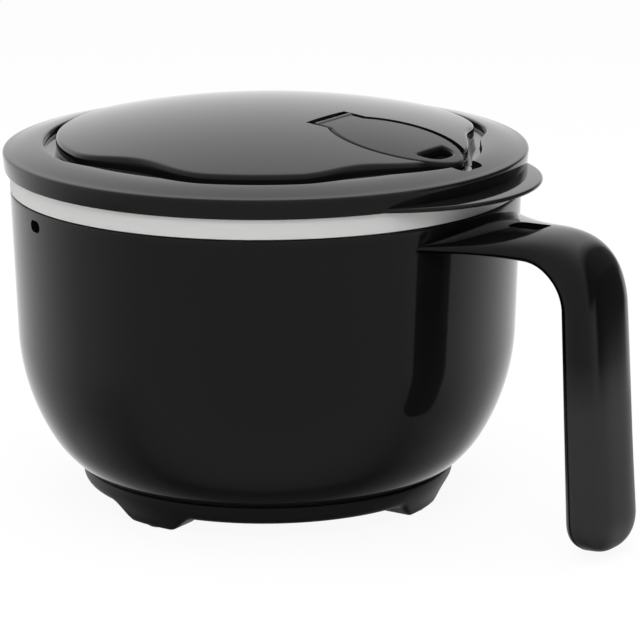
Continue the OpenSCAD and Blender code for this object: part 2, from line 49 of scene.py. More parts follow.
# ---- Sizes, as in the part's source ----
SHELL_R, SHELL_TOP, SHELL_DRAFT = 78.0, 97.0, 1.6
BELLY_Z, BELLY_R, TURN_R, TURN_DIP, SHELL_WALL = 53.2, 65.2, 36.0, 5.0, 2.2
BREATHER_W, BREATHER_H, BREATHER_ANGLE, BREATHER_DROP = 6.0, 3.6, 243.0, 4.4
SHEET, RIM_RISE, RIM_SPACE, BELLY_SPACE, FLOOR_SPACE = 0.7, 8.4, 2.9, 4.0, 4.4
LINER_CORNER, RIM_ROUND = 12.0, 1.2
BASE_TOP, BASE_Z, BASE_LIP, BASE_WALL = 11.0, 5.0, 1.7, 2.4
FOOT_INSET, FOOT_W, FOOT_FLARE, PAD_D = 8.5, 15.0, 29.0, 8.4
FOOT_BEARINGS = (8.0, 83.0, 188.0, 263.0)
SCREW_D = 2.2
HEAD_R = SCREW_D / 2 + 1
GRIP_X, GRIP_W, GRIP_T_TOP, GRIP_T_TIP = 116.4, 28.0, 11.0, 14.2
GRIP_TIP_Z, GRIP_LEAN, BEND_R = 1.0, 3.0, 17.5
ROOT_W, ROOT_T, ARM_T, ROOT_DROP, ARM_RISE = 56.0, 5.6, 7.6, 5.6, -2.0
FLARE_POWER, SLOT_START = 2.2, 10.4
SLOT_L, SLOT_W, SLOT_DEPTH = 11.6, 8.0, 3.0
SKIRT_GAP, SKIRT_T, SKIRT_LAP = 0.4, 1.25, 1.8
PLATE_T, FLANGE_RISE, FLANGE_IN, FLANGE_LIP = 2.2, 2.2, 66.0, 0.5
GUIDE_DEPTH, GUIDE_GAP, GUIDE_T = 8.0, 0.8, 1.8
NOTCH_L, NOTCH_W, NOTCH_R = 10.6, 12.0, 3.0
TAB_REACH, TAB_R, TAB_T, SEAL_T = 90.7, 47.4, 1.4, 2.0
DOME_H, DOME_R, GROOVE_R, GROOVE_W = 12.0, 263.0, 68.8, 3.8
WAIST_DEPTH, WAIST_ANGLE, NIP_DEPTH, NIP_ANGLE = 5.4, 94.0, 3.4, 29.0
TIP_SWELL, BACK_DRAW, DOME_EDGE = 2.2, 1.8, 1.5
HINGE_X, NECK_W, LEAF_W, LEAF_L, LEAF_TIP, LEAF_POWER = 24.6, 18.6, 33.0, 45.0, 70.0, 0.62
FLAP_T, FLAP_GAP, BARREL_D = 2.0, 0.5, 3.8
EYE_W, EYE_H, EYE_X = 13.6, 5.7, 59.5
VENT_X, VENT_D, STOPPER_D, STOPPER_T = 44.0, 3.8, 10.0, 1.2

# ---- Small forms that only the visible pieces have ----
# A fuller curve under the belly, and the bowl's upper edge.
FULL_TURN_R, FULL_TURN_DIP, TOP_ROUND = 35.0, 6.0, 0.5
# Roundings of the base's upper and lower edge, height of the feet's soles.
BASE_EDGE, BASE_ROUND, SOLE_Z = 0.6, 4.2, 0.3
# Round end of the grip, parting plane as a share of half the thickness, open seam.
TIP_ROUND, SPLIT, SEAM = 11.0, -0.4, 0.08
# Extra thickness of the handle's outer side at the arm's end and at the grip's top.
ARM_LIFT, GRIP_LIFT = 1.5, 0.8
# Points round the axis. The base has the most, for its feet.
BOWL_SIDES, LID_SIDES, BASE_SIDES = 288, 480, 720
# The flap lies a little under the dome, in a wider seam, with a rounded edge.
FLAP_SINK, SEAM_EXTRA, FLAP_ROUND = 0.2, 0.5, 1.2

RIM_TOP = SHELL_TOP + RIM_RISE
NECK_TOP = RIM_TOP - SHEET
PLATE_Z = RIM_TOP + SEAL_T
PLATE_TOP = PLATE_Z + PLATE_T
SKIRT_Z = RIM_TOP - SKIRT_LAP
SKIRT_IN = SHELL_R + SKIRT_GAP
SKIRT_OUT = SKIRT_IN + SKIRT_T
EDGE_R = SKIRT_OUT + FLANGE_LIP
SHELL_IN = SHELL_R - SHELL_WALL
LINER_OUT = SHELL_IN - RIM_SPACE
LINER_IN = LINER_OUT - SHEET
GUIDE_OUT = LINER_IN - GUIDE_GAP
CROWN_Z = PLATE_TOP + DOME_H
DOME_C = CROWN_Z - DOME_R
WALL_SLOPE = SHELL_DRAFT / (SHELL_TOP - BELLY_Z)
WALL_TILT = math.atan(WALL_SLOPE)
BELLY_C = (
    SHELL_R - SHELL_DRAFT - BELLY_R * math.cos(WALL_TILT),
    BELLY_Z + BELLY_R * math.sin(WALL_TILT),
)

rad = math.radians


def wall_x(z):
    """Outer radius of the shell's straight wall at height z."""
    return SHELL_R - (SHELL_TOP - z) * WALL_SLOPE


def turn_arc(r, dip):
    """Start angle and centre of the tighter arc that leads from the belly to the base."""
    rise = BELLY_C[1] - (BASE_TOP - dip) - r
    run = math.sqrt((BELLY_R - r) ** 2 - rise**2)
    return math.degrees(-math.atan2(rise, run)), (BELLY_C[0] + run, BASE_TOP - dip + r)


def turn_x(z):
    """Radius of that arc in the source at height z."""
    _, c = turn_arc(TURN_R, TURN_DIP)
    return c[0] + math.sqrt(TURN_R**2 - (z - c[1]) ** 2)


def arc(cx, cz, r, a0, a1, n):
    """Points on an arc, angles in degrees."""
    steps = [a0 + (a1 - a0) * i / n for i in range(n + 1)]
    return [(cx + r * math.cos(rad(a)), cz + r * math.sin(rad(a))) for a in steps]


def line(p, q, n):
    """Points from p up to, but without, q."""
    return [(p[0] + (q[0] - p[0]) * i / n, p[1] + (q[1] - p[1]) * i / n) for i in range(n)]


def shell_curve(w, z, r, dip, n=34):
    """The shell's curve set in by w, from the end of the straight wall down to height z."""
    start, c = turn_arc(r, dip)
    low = -math.degrees(math.asin((c[1] - z) / (r - w)))
    return (
        arc(BELLY_C[0], BELLY_C[1], BELLY_R - w, -math.degrees(WALL_TILT), start, n)
        + arc(c[0], c[1], r - w, start, low, n)[1:]
    )


def bowl_curve(r, z, q, n=40):
    """Belly arc of radius r, a corner of radius q and a flat floor at height z."""
    rise = BELLY_C[1] - z - q
    run = math.sqrt((r - q) ** 2 - rise * rise)
    a = math.degrees(-math.atan2(rise, run))
    return (
        arc(BELLY_C[0], BELLY_C[1], r, -math.degrees(WALL_TILT), a, n)
        + arc(BELLY_C[0] + run, z + q, q, a, -90, 14)[1:]
        + [(0.0, z)]
    )


def cap_z(r):
    """Height of the dome's top at distance r from the axis."""
    return DOME_C + math.sqrt(DOME_R**2 - r * r)


def bump(x):
    """Soft hill of height 1 over -1 to 1."""
    return (1 + math.cos(math.pi * x)) / 2 if abs(x) < 1 else 0.0


def smooth(x):
    """Soft step from 0 to 1."""
    x = min(1.0, max(0.0, x))
    return x * x * (3 - 2 * x)


def groove_edge(a):
    """Outer edge of the groove round the dome at bearing a in degrees."""
    b = abs((a + 180) % 360 - 180)
    return (
        GROOVE_R
        - WAIST_DEPTH * bump((b - WAIST_ANGLE) / 24)
        - NIP_DEPTH * bump((b - NIP_ANGLE) / 18)
        + TIP_SWELL * bump(b / 18)
        - BACK_DRAW * bump((180 - b) / 90)
    )


# ---- Mesh helpers ----


def new_object(name, verts, faces):
    """Object in metres from vertices in millimetres."""
    mesh = bpy.data.meshes.new(name)
    mesh.from_pydata([Vector(v) * MM for v in verts], [], faces)
    mesh.validate()
    obj = bpy.data.objects.new(name, mesh)
    scene.collection.objects.link(obj)
    return obj


def swept(profile_at, n):
    """Closed solid round the axis: profile_at(bearing) gives a closed loop of (r, z)."""
    verts, faces = [], []
    loops = [profile_at(360.0 * j / n) for j in range(n)]
    m = len(loops[0])
    axis = [i for i in range(m) if loops[0][i][0] == 0.0]
    for i in axis:
        verts.append((0.0, 0.0, loops[0][i][1]))
    index = {}
    for j, loop in enumerate(loops):
        a = 2 * math.pi * j / n
        for i, (r, z) in enumerate(loop):
            if i in axis:
                index[j, i] = axis.index(i)
            else:
                index[j, i] = len(verts)
                verts.append((r * math.cos(a), r * math.sin(a), z))
    for j in range(n):
        k = (j + 1) % n
        for i in range(m):
            h = (i + 1) % m
            if i in axis and h in axis:
                continue
            quad = [index[j, i], index[k, i], index[k, h], index[j, h]]
            faces.append(list(dict.fromkeys(quad))[::-1])
    return verts, faces


def revolved(profile, n):
    """Closed solid of revolution of a loop of (r, z)."""
    return swept(lambda a: profile, n)


def cut(obj, verts, faces):
    """Cuts a solid given by vertices and faces out of a piece."""
    tool = new_object(obj.name + "_tool", verts, faces)
    outward(tool)
    outward(obj)
    step = obj.modifiers.new("cut", "BOOLEAN")
    step.object = tool
    step.operation = "DIFFERENCE"
    step.solver = "EXACT"
    graph = bpy.context.evaluated_depsgraph_get()
    result = bpy.data.meshes.new_from_object(obj.evaluated_get(graph))
    obj.modifiers.clear()
    obj.data = result
    bpy.data.objects.remove(tool)


def outward(obj):
    """Turns the faces of a closed mesh outwards."""
    work = bmesh.new()
    work.from_mesh(obj.data)
    bmesh.ops.recalc_face_normals(work, faces=work.faces)
    work.to_mesh(obj.data)
    work.free()


def finish_piece(obj, material, body, replaces=(), crease=32.0, normal_at=None):
    """Shades, paints and places one piece. normal_at(point, face normal) may give exact normals."""
    outward(obj)
    mesh = obj.data
    mesh.shade_smooth()
    mesh.set_sharp_from_angle(angle=rad(crease))
    if normal_at:
        given = [c.vector.copy() for c in mesh.corner_normals]
        out = []
        for poly in mesh.polygons:
            flat = poly.normal
            for loop in poly.loop_indices:
                co = mesh.vertices[mesh.loops[loop].vertex_index].co / MM
                better = normal_at(co, flat)
                out.append(given[loop] if better is None else better)
        mesh.normals_split_custom_set(out)
    mesh.materials.clear()
    mesh.materials.append(material)
    if replaces:
        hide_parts(*replaces)
    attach(obj, body)


def capped(n):
    """Faces of a solid between two rings of n points, counted from the lower ring."""
    sides = [[i, (i + 1) % n, n + (i + 1) % n, n + i] for i in range(n)]
    return [list(range(n))[::-1], list(range(n, 2 * n))] + sides


def prism(outline, z_low, z_high):
    """Prism over a plan outline. z_low and z_high are functions of (x, y)."""
    low = [(x, y, z_low(x, y)) for x, y in outline]
    high = [(x, y, z_high(x, y)) for x, y in outline]
    return low + high, capped(len(outline))


def round_corners(x, length, width, r):
    """Plan of a rounded rectangle centred on the X axis at x."""
    plan = []
    for sx, sy, a in ((1, 1, 0), (-1, 1, 90), (-1, -1, 180), (1, -1, 270)):
        plan += arc(x + sx * (length / 2 - r), sy * (width / 2 - r), r, a, a + 90, 6)
    return plan


def rod(start, end, r, n=48):
    """Cylinder between two points."""
    a, b = Vector(start), Vector(end)
    turn = (b - a).to_track_quat("Z", "Y")
    ring = [
        turn @ Vector((r * math.cos(2 * math.pi * i / n), r * math.sin(2 * math.pi * i / n), 0))
        for i in range(n)
    ]
    return [a + p for p in ring] + [b + p for p in ring], capped(n)


# ---- Materials ----


def add_node(tree, kind, inputs=None, **settings):
    """New shader node. Inputs given as sockets are linked, all others are set."""
    node = tree.nodes.new("ShaderNode" + kind)
    for name, value in settings.items():
        setattr(node, name, value)
    for key, value in (inputs or {}).items():
        if isinstance(value, bpy.types.NodeSocket):
            tree.links.new(value, node.inputs[key])
        else:
            node.inputs[key].default_value = value
    return node


def maths(tree, operation, *values):
    """Result of a maths node on numbers and sockets."""
    return add_node(tree, "Math", dict(enumerate(values)), operation=operation).outputs["Value"]


def map_range(tree, source, x0, x1, y0, y1):
    """Maps x0..x1 to y0..y1 and stays at the ends beyond them."""
    inputs = {"Value": source, "From Min": x0, "From Max": x1, "To Min": y0, "To Max": y1}
    return add_node(tree, "MapRange", inputs).outputs["Result"]


def blend(tree, share, first, second):
    """Mix of two colours."""
    return add_node(tree, "Mix", {0: share, 6: first, 7: second}, data_type="RGBA").outputs[2]


def tones(colour, spread):
    """A darker and a lighter tone of a colour."""
    return [(*[c * k for c in colour], 1) for k in (1 - spread, 1 + spread)]


def bump_from(tree, height, strength, distance):
    """Normals roughened by a height pattern."""
    inputs = {"Height": height, "Strength": strength, "Distance": distance}
    return add_node(tree, "Bump", inputs).outputs["Normal"]


def new_material(name, **values):
    """Material with values on its shader's sockets. Returns it, its tree and the shader."""
    mat = bpy.data.materials.new(name)
    mat.use_nodes = True
    shader = mat.node_tree.nodes["Principled BSDF"]
    for key, value in values.items():
        shader.inputs[key.replace("_", " ")].default_value = value
    return mat, mat.node_tree, shader


def plastic(name, colour, rough, vary, ripple=0.0, gleam=0.5, satin_and_painted_light_z=None):
    """Moulded plastic with slight procedural variation in tone and gloss.

    gleam is the strength of its reflections. Below the given height, in metres, the surface is
    duller, a satin finish, and its colour is paler: painted light that brightens the lower part.
    """
    mat, tree, shader = new_material(name, Specular_IOR_Level=gleam)
    place = add_node(tree, "TexCoord").outputs["Object"]
    clouds = {"Vector": place, "Scale": 38.0, "Detail": 4.0}
    noise = add_node(tree, "TexNoise", clouds).outputs["Fac"]
    dull = map_range(tree, noise, 0.0, 1.0, rough - vary, rough + vary)
    shade = blend(tree, noise, *tones(colour, 0.1))
    if satin_and_painted_light_z:
        fade = 0.008
        z = add_node(tree, "SeparateXYZ", {"Vector": place}).outputs["Z"]
        below = map_range(tree, z, satin_and_painted_light_z + fade, satin_and_painted_light_z - fade, 0.0, 1.0)
        dull = maths(tree, "MULTIPLY_ADD", below, SATIN_DULL, dull)
        # Painted light: the base colour turns paler below that height, lightening the lower part.
        shade = blend(tree, below, shade, LOWER_PAINTED_LIGHT_COLOUR)
    tree.links.new(dull, shader.inputs["Roughness"])
    tree.links.new(shade, shader.inputs["Base Color"])
    if ripple:
        grain = add_node(tree, "TexNoise", {"Vector": place, "Scale": 1800.0}).outputs["Fac"]
        tree.links.new(bump_from(tree, grain, ripple, 0.0002), shader.inputs["Normal"])
    return mat


def steel(name, colour, rough):
    """Satin steel, brushed round the bowl's axis."""
    mat, tree, shader = new_material(name, Metallic=0.5, Anisotropic=0.6)
    along = add_node(tree, "Tangent", direction_type="RADIAL", axis="Z")
    place = add_node(tree, "TexCoord").outputs["Object"]
    x, y, z = add_node(tree, "SeparateXYZ", {"Vector": place}).outputs
    square_x = maths(tree, "MULTIPLY", x, x)
    radius = maths(tree, "SQRT", maths(tree, "MULTIPLY_ADD", y, y, square_x))
    bearing = maths(tree, "ARCTAN2", y, x)
    across, lengthwise = 9000.0, 6.0
    lines = {
        "X": maths(tree, "MULTIPLY", radius, across),
        "Y": maths(tree, "MULTIPLY", z, across),
        "Z": maths(tree, "MULTIPLY", bearing, lengthwise),
    }
    pattern = add_node(tree, "CombineXYZ", lines).outputs["Vector"]
    streaks = {"Vector": pattern, "Scale": 1.0, "Detail": 3.0}
    noise = add_node(tree, "TexNoise", streaks).outputs["Fac"]
    for socket, source in {
        "Tangent": along.outputs["Tangent"],
        "Base Color": blend(tree, noise, *tones(colour, 0.05)),
        "Roughness": map_range(tree, noise, 0.0, 1.0, rough - 0.07, rough + 0.07),
        "Normal": bump_from(tree, noise, 0.08, 0.0001),
    }.items():
        tree.links.new(source, shader.inputs[socket])
    return mat


# The roughness added below the height is a satin finish. The paler colour there is painted light on
# the lower handle.
SATIN_DULL, LOWER_PAINTED_LIGHT_COLOUR = 0.26, (0.019, 0.019, 0.0192, 1)
GLOSS = plastic("gloss_black", (0.004, 0.004, 0.0042), 0.07, 0.015)
LID = plastic("lid_black", (0.005, 0.005, 0.0052), 0.07, 0.015)
HANDLE = plastic("handle_black", (0.003, 0.003, 0.0032), 0.1, 0.015, satin_and_painted_light_z=0.052)
FLAP = plastic("flap_black", (0.004, 0.004, 0.0042), 0.25, 0.03, ripple=0.15, gleam=0.22)
MATTE = plastic("matte_black", (0.003, 0.003, 0.003), 0.42, 0.05, ripple=0.3, gleam=0.3)
RUBBER = plastic("pad_rubber", (0.012, 0.012, 0.012), 0.7, 0.05, ripple=0.3)
SILICONE = plastic("silicone", (0.55, 0.55, 0.54), 0.4, 0.05)
STEEL = steel("steel", (0.82, 0.82, 0.81), 0.5)
SCREW = steel("screw_steel", (0.55, 0.55, 0.55), 0.3)

for node, material in {
    "foot_pad_1": RUBBER,
    "foot_pad_2": RUBBER,
    "foot_pad_3": RUBBER,
    "foot_pad_4": RUBBER,
    "base_screws": SCREW,
    "handle_screws": SCREW,
    "lid_seal": SILICONE,
    "flap_pin": SCREW,
    "vent_stopper": SILICONE,
}.items():
    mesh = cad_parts[node].data
    mesh.materials.clear()
    mesh.materials.append(material)


# ---- Bowl ----


def shell_profile():
    """Section of the shell, with the neck's top as its start."""
    top = arc(SHELL_R - TOP_ROUND, SHELL_TOP - TOP_ROUND, TOP_ROUND, 90, 0, 6)
    wall = line(top[-1], (wall_x(BELLY_Z), BELLY_Z), 30)
    belly = shell_curve(0, BASE_TOP, FULL_TURN_R, FULL_TURN_DIP)
    floor_z = BASE_TOP + SHELL_WALL
    inside = shell_curve(SHELL_WALL, floor_z, TURN_R, TURN_DIP) + [(0.0, floor_z)]
    neck = SHELL_R - SHEET - 0.2
    return (
        [(SHELL_IN, NECK_TOP), (neck, NECK_TOP), (neck, SHELL_TOP)]
        + top[:-1]
        + wall
        + belly
        + [(0.0, BASE_TOP)]
        + inside[::-1]
    )


def wall_normal(co, flat):
    """Exact normal on the shell's straight wall."""
    r = math.hypot(co.x, co.y)
    if not BELLY_Z < co.z < SHELL_TOP - 0.6 or abs(r - wall_x(co.z)) > 0.03:
        return None
    c, s = math.cos(WALL_TILT), math.sin(WALL_TILT)
    exact = Vector((co.x / r * c, co.y / r * c, -s))
    return exact if exact.dot(flat) > 0.95 else None


def slot_points(length, width, n=10):
    """Outline of a slot with round ends."""
    h = length / 2 - width / 2
    right = [(h + p[0], p[1]) for p in arc(0, 0, width / 2, -90, 90, n)]
    left = [(-h + p[0], p[1]) for p in arc(0, 0, width / 2, 90, 270, n)]
    return right + left


shell = new_object("bowl_shell", *revolved(shell_profile(), BOWL_SIDES))
bearing = Matrix.Rotation(rad(BREATHER_ANGLE), 3, "Z")
hole = slot_points(BREATHER_W, BREATHER_H)
hole_z = SHELL_TOP - BREATHER_DROP
inner = [bearing @ Vector((SHELL_IN - 4, y, hole_z + z)) for y, z in hole]
outer = [bearing @ Vector((SHELL_R + 2, y, hole_z + z)) for y, z in hole]
cut(shell, inner + outer, capped(len(hole)))
finish_piece(shell, GLOSS, "bowl", ["outer_shell"], normal_at=wall_normal)

rim_z = RIM_TOP - RIM_ROUND
liner_r, liner_z = BELLY_R - SHELL_WALL - BELLY_SPACE, BASE_TOP + SHELL_WALL + FLOOR_SPACE
hem = SHELL_TOP + 0.4
liner_loop = (
    bowl_curve(liner_r, liner_z, LINER_CORNER)[::-1]
    + [(LINER_OUT, SHELL_TOP - 20), (LINER_OUT, NECK_TOP), (SHELL_R - SHEET, NECK_TOP)]
    + [(SHELL_R - SHEET, hem)]
    + arc(SHELL_R - SHEET / 2, hem + SHEET / 2, SHEET / 2, -90, 0, 4)
    + arc(SHELL_R - RIM_ROUND, rim_z, RIM_ROUND, 0, 90, 10)
    + arc(LINER_IN + RIM_ROUND, rim_z, RIM_ROUND, 90, 180, 10)
    + [(LINER_IN, SHELL_TOP - 20)]
    + bowl_curve(liner_r - SHEET, liner_z + SHEET, LINER_CORNER - SHEET)
)
liner = new_object("rim_and_liner", *revolved(liner_loop, BOWL_SIDES))
finish_piece(liner, STEEL, "bowl", ["steel_liner"], crease=40.0)


# ---- Base ----
BASE_OUT = turn_x(BASE_TOP) + BASE_LIP
BASE_SEAT = turn_x(BASE_TOP) - 1.4
BASE_FLOOR = BASE_Z + BASE_WALL
FOOT_R = BASE_OUT - FOOT_INSET


def foot_share(a):
    """How far the base reaches down to the feet's soles at bearing a: 0 to 1."""
    near = min(abs((a - b + 180) % 360 - 180) for b in FOOT_BEARINGS)
    flat = FOOT_W / 2 - 1
    out = (FOOT_R * rad(near) - flat) / (FOOT_FLARE / 2 - flat)
    return 1 - smooth(out)


def base_profile(a):
    """Section of the base at bearing a, between the plain ring and the middle of a foot."""
    share = foot_share(a)
    sole = FOOT_R + 5.0
    ring = arc(BASE_OUT - BASE_ROUND, BASE_Z + BASE_ROUND, BASE_ROUND, 0, -82, 12)
    foot = [(BASE_OUT, 9.2), (BASE_OUT - 0.3, 8.0), (BASE_OUT - 0.9, 6.6), (BASE_OUT - 1.6, 5.3)]
    foot += [(BASE_OUT - 2.2, 4.1), (sole + 0.75, 3.2), (sole + 0.5, 2.5)]
    foot += [(sole + p, SOLE_Z + q) for p, q in arc(-1.4, 1.7, 1.7, 0, -90, 5)]
    side = [
        (p[0] + (q[0] - p[0]) * share, p[1] + (q[1] - p[1]) * share) for p, q in zip(ring, foot)
    ]
    low = BASE_Z + (SOLE_Z - BASE_Z) * share
    rear = FOOT_R - 5.4
    under = [(side[-1][0] + (rear - side[-1][0]) * i / 8, low) for i in range(1, 9)]
    fall = [i / 10 for i in range(1, 11)]
    under += [(rear - 4.0 * t, low + (BASE_Z - low) * smooth(t)) for t in fall]
    return (
        [(0.0, BASE_FLOOR), (BASE_SEAT - 1.6, BASE_FLOOR), (BASE_SEAT, BASE_TOP)]
        + arc(BASE_OUT - BASE_EDGE, BASE_TOP - BASE_EDGE, BASE_EDGE, 90, 0, 5)
        + side
        + under
        + [(20.0, BASE_Z), (0.0, BASE_Z)]
    )


def pad_pockets():
    """Stepped holes in the four feet for pad, screw head and shank."""
    pad_r, head_r, shank_r = PAD_D / 2 + 0.05, HEAD_R + 0.2, SCREW_D / 2 + 0.15
    steps = [(0.0, -1.0), (pad_r, -1.0), (pad_r, 2.0), (head_r, 2.0), (head_r, 3.4)]
    steps += [(shank_r, 3.4), (shank_r, 20.0), (0.0, 20.0)]
    one, flat = revolved(steps, 40)
    verts, faces = [], []
    for b in FOOT_BEARINGS:
        at = Vector((FOOT_R * math.cos(rad(b)), FOOT_R * math.sin(rad(b)), 0))
        faces += [[i + len(verts) for i in face] for face in flat]
        verts += [Vector(v) + at for v in one]
    return verts, faces


base = new_object("base_ring", *swept(base_profile, BASE_SIDES))
cut(base, *pad_pockets())
finish_piece(base, MATTE, "bowl", ["base_cover"], crease=46.0)


# ---- Handle ----
ARM_X = GRIP_X - BEND_R * (math.sin(rad(ARM_RISE)) + math.cos(rad(GRIP_LEAN)))
ARM_Z = SHELL_TOP - ROOT_DROP + (ARM_X - SHELL_R) * math.tan(rad(ARM_RISE))
BEND_C = (ARM_X + BEND_R * math.sin(rad(ARM_RISE)), ARM_Z - BEND_R * math.cos(rad(ARM_RISE)))
GRIP_TOP = (GRIP_X, BEND_C[1] + BEND_R * math.sin(rad(GRIP_LEAN)))
GRIP_L = (GRIP_TOP[1] - GRIP_TIP_Z) / math.cos(rad(GRIP_LEAN))
FLARE_X = ARM_X + 7


def station(kind, t):
    """Centre line point, heading in degrees and the section there.

    The section is half width, half thickness, fullness, nearness to the wall, extra
    thickness on the outer side and fullness of the outer side.
    """
    if kind == "arm":
        x, heading = SHELL_R + (ARM_X - SHELL_R) * t, ARM_RISE
        z = ARM_Z - (ARM_X - x) * math.tan(rad(ARM_RISE))
        thick, full, fade = (ROOT_T + (ARM_T - ROOT_T) * t) / 2, 2.2 + 0.45 * t, 1 - t
        lift, crown = ARM_LIFT - 0.3 * (1 - t), 1.75 + 0.35 * t
    elif kind == "bend":
        heading = ARM_RISE - (90 + ARM_RISE - GRIP_LEAN) * t
        x = BEND_C[0] - BEND_R * math.sin(rad(heading))
        z = BEND_C[1] + BEND_R * math.cos(rad(heading))
        thick, full, fade = (ARM_T + (GRIP_T_TOP - ARM_T) * t) / 2, min(2.9, 2.65 + 0.6 * t), 0
        lift = ARM_LIFT + (GRIP_LIFT - ARM_LIFT) * t + 1.5 * math.sin(math.pi * t) ** 2
        crown = 2.1 + 0.8 * t
    else:
        s, heading = t, GRIP_LEAN - 90
        x = GRIP_TOP[0] + s * math.sin(rad(GRIP_LEAN))
        z = GRIP_TOP[1] - s * math.cos(rad(GRIP_LEAN))
        u = max(0.0, (s - GRIP_L + TIP_ROUND) / TIP_ROUND)
        thick = (GRIP_T_TOP + (GRIP_T_TIP - GRIP_T_TOP) * s / GRIP_L) / 2 * (1 - u**3) ** 0.4
        wide, lift = GRIP_W / 2 * (1 - u**2.2) ** 0.5, GRIP_LIFT * (1 - smooth(s / 50))
        return x, z, heading, wide, thick, 2.9, 0, lift, 2.9
    u = min(1.0, max(0.0, (x - SHELL_R) / (FLARE_X - SHELL_R)))
    wide = GRIP_W / 2 + (ROOT_W - GRIP_W) / 2 * (1 - u) ** FLARE_POWER
    return x, z, heading, wide, thick, full, fade, lift, crown


def signed_pow(x, p):
    """Power of the size of x, with the sign of x."""
    return math.copysign(abs(x) ** p, x)


def handle_ring(st, top, n=30):
    """Outline of one half's section: outer points, then the parting face back."""
    x0, z0, heading, wide, thick, full, fade, lift, crown = st
    seam_w = SPLIT * thick + (SEAM / 2 if top else -SEAM / 2)
    soft = 0.35 * min(1.0, thick / 2.0)
    sign = 1 if top else -1

    def angle_of(w):
        """Angle on the section at which it reaches w."""
        return math.asin(max(-1.0, min(1.0, signed_pow(w / thick, full / 2))))

    room = (thick - seam_w) if top else (thick + seam_w)
    depths = [d * min(soft, room * 0.4) for d in (0, 0.08, 0.25, 0.5, 0.75, 1.0)]
    starts = [angle_of(seam_w + sign * d) for d in depths]
    last, end = starts[-1], sign * math.pi / 2
    angles = starts + [last + (end - last) * (i / n) for i in range(1, n + 1)]
    half = []
    for a in angles:
        power = 2 / (crown if a > 0 else full)
        y = wide * signed_pow(math.cos(a), power)
        w = (thick + lift if a > 0 else thick) * signed_pow(math.sin(a), power)
        d = abs(w - seam_w)
        reach = depths[-1]
        if d < reach:
            y -= reach - math.sqrt(reach**2 - (reach - d) ** 2)
        half.append((max(0.0, y), w))
    outer = half + [(-y, w) for y, w in half[-2::-1]]
    seam = [(y, seam_w) for y, w in outer[-2:0:-1]]

    def place(y, w):
        """Point of the section in space, wrapped on the wall near the root."""
        x = x0 - w * math.sin(rad(heading))
        z = z0 + w * math.cos(rad(heading))
        r = wall_x(z) + 0.05
        y = max(-r + 1, min(r - 1, y))
        bend = math.sqrt(r * r - y * y) - SHELL_R + w * math.sin(rad(heading))
        return (x + fade * bend, y, z)

    return [place(y, w) for y, w in outer], [place(y, w) for y, w in seam]


def handle_half(name, top):
    """One half of the handle, lofted from the wall to the tip."""
    stations = [station("arm", (i / 36) ** 1.3) for i in range(36)]
    stations += [station("bend", i / 40) for i in range(40)]
    straight = GRIP_L - TIP_ROUND
    stations += [station("grip", straight * i / 24) for i in range(24)]
    stations += [
        station("grip", straight + TIP_ROUND * math.sin(rad(88.5 * i / 24))) for i in range(25)
    ]
    verts, faces, loops = [], [], []
    for st in stations:
        outer, seam = handle_ring(st, top)
        loops.append([len(verts) + i for i in range(len(outer) + len(seam))])
        verts += outer + seam
    m, size = len(outer) - 1, len(loops[0])
    for a, b in zip(loops, loops[1:]):
        faces += [[a[i], b[i], b[(i + 1) % size], a[(i + 1) % size]] for i in range(size)]
    for loop in (loops[0], loops[-1]):
        back = [loop[0]] + loop[: m : -1] + [loop[m]]
        for i in range(m):
            face = list(dict.fromkeys([loop[i], loop[i + 1], back[i + 1], back[i]]))
            if len(face) > 2:
                faces.append(face)
    return new_object(name, verts, faces)


def arm_recess():
    """Solid that cuts the blind recess in the arm's top."""
    x = SHELL_R + SLOT_START + SLOT_L / 2
    z = SHELL_TOP - ROOT_DROP + (x - SHELL_R) * math.tan(rad(ARM_RISE)) + (ROOT_T + ARM_T) / 4
    plan = round_corners(0, SLOT_L, SLOT_W, 2.0)
    tilt = Matrix.Rotation(rad(-ARM_RISE), 3, "Y")
    verts, faces = prism(plan, lambda x, y: -SLOT_DEPTH, lambda x, y: 6.0)
    return [tilt @ Vector(v) + Vector((x, 0, z)) for v in verts], faces


upper = handle_half("handle_upper_half", True)
cut(upper, *arm_recess())
finish_piece(upper, HANDLE, "bowl", ["handle_shell"], crease=38.0)
lower = handle_half("handle_lower_half", False)
finish_piece(lower, HANDLE, "bowl", ["handle_cover"], crease=38.0)


# ---- Lid ----
UNDER_IN = cap_z(HINGE_X) - FLAP_T
UNDER_TILT = math.atan((UNDER_IN - cap_z(LEAF_TIP) + FLAP_T) / (LEAF_TIP - HINGE_X))
LEAF_C = LEAF_TIP - LEAF_L / 2
PIN_Z = cap_z(HINGE_X) - BARREL_D / 2 - 0.05


def underside_z(x):
    """Height of the flap's flat underside at x."""
    return UNDER_IN - (x - HINGE_X) * math.tan(UNDER_TILT)


def vent_axis(depth):
    """Point at the given depth under the flap's underside, along the steam hole."""
    s, c = math.sin(UNDER_TILT), math.cos(UNDER_TILT)
    return (VENT_X - depth * s, 0, underside_z(VENT_X) - depth * c)


def flange_z(r):
    """Height of the lid's crowned flange at distance r from the axis."""
    share = min(1.0, (EDGE_R - 2 - r) / (EDGE_R - 2 - FLANGE_IN))
    return PLATE_TOP + 0.2 + FLANGE_RISE * math.sin(rad(90 * share))


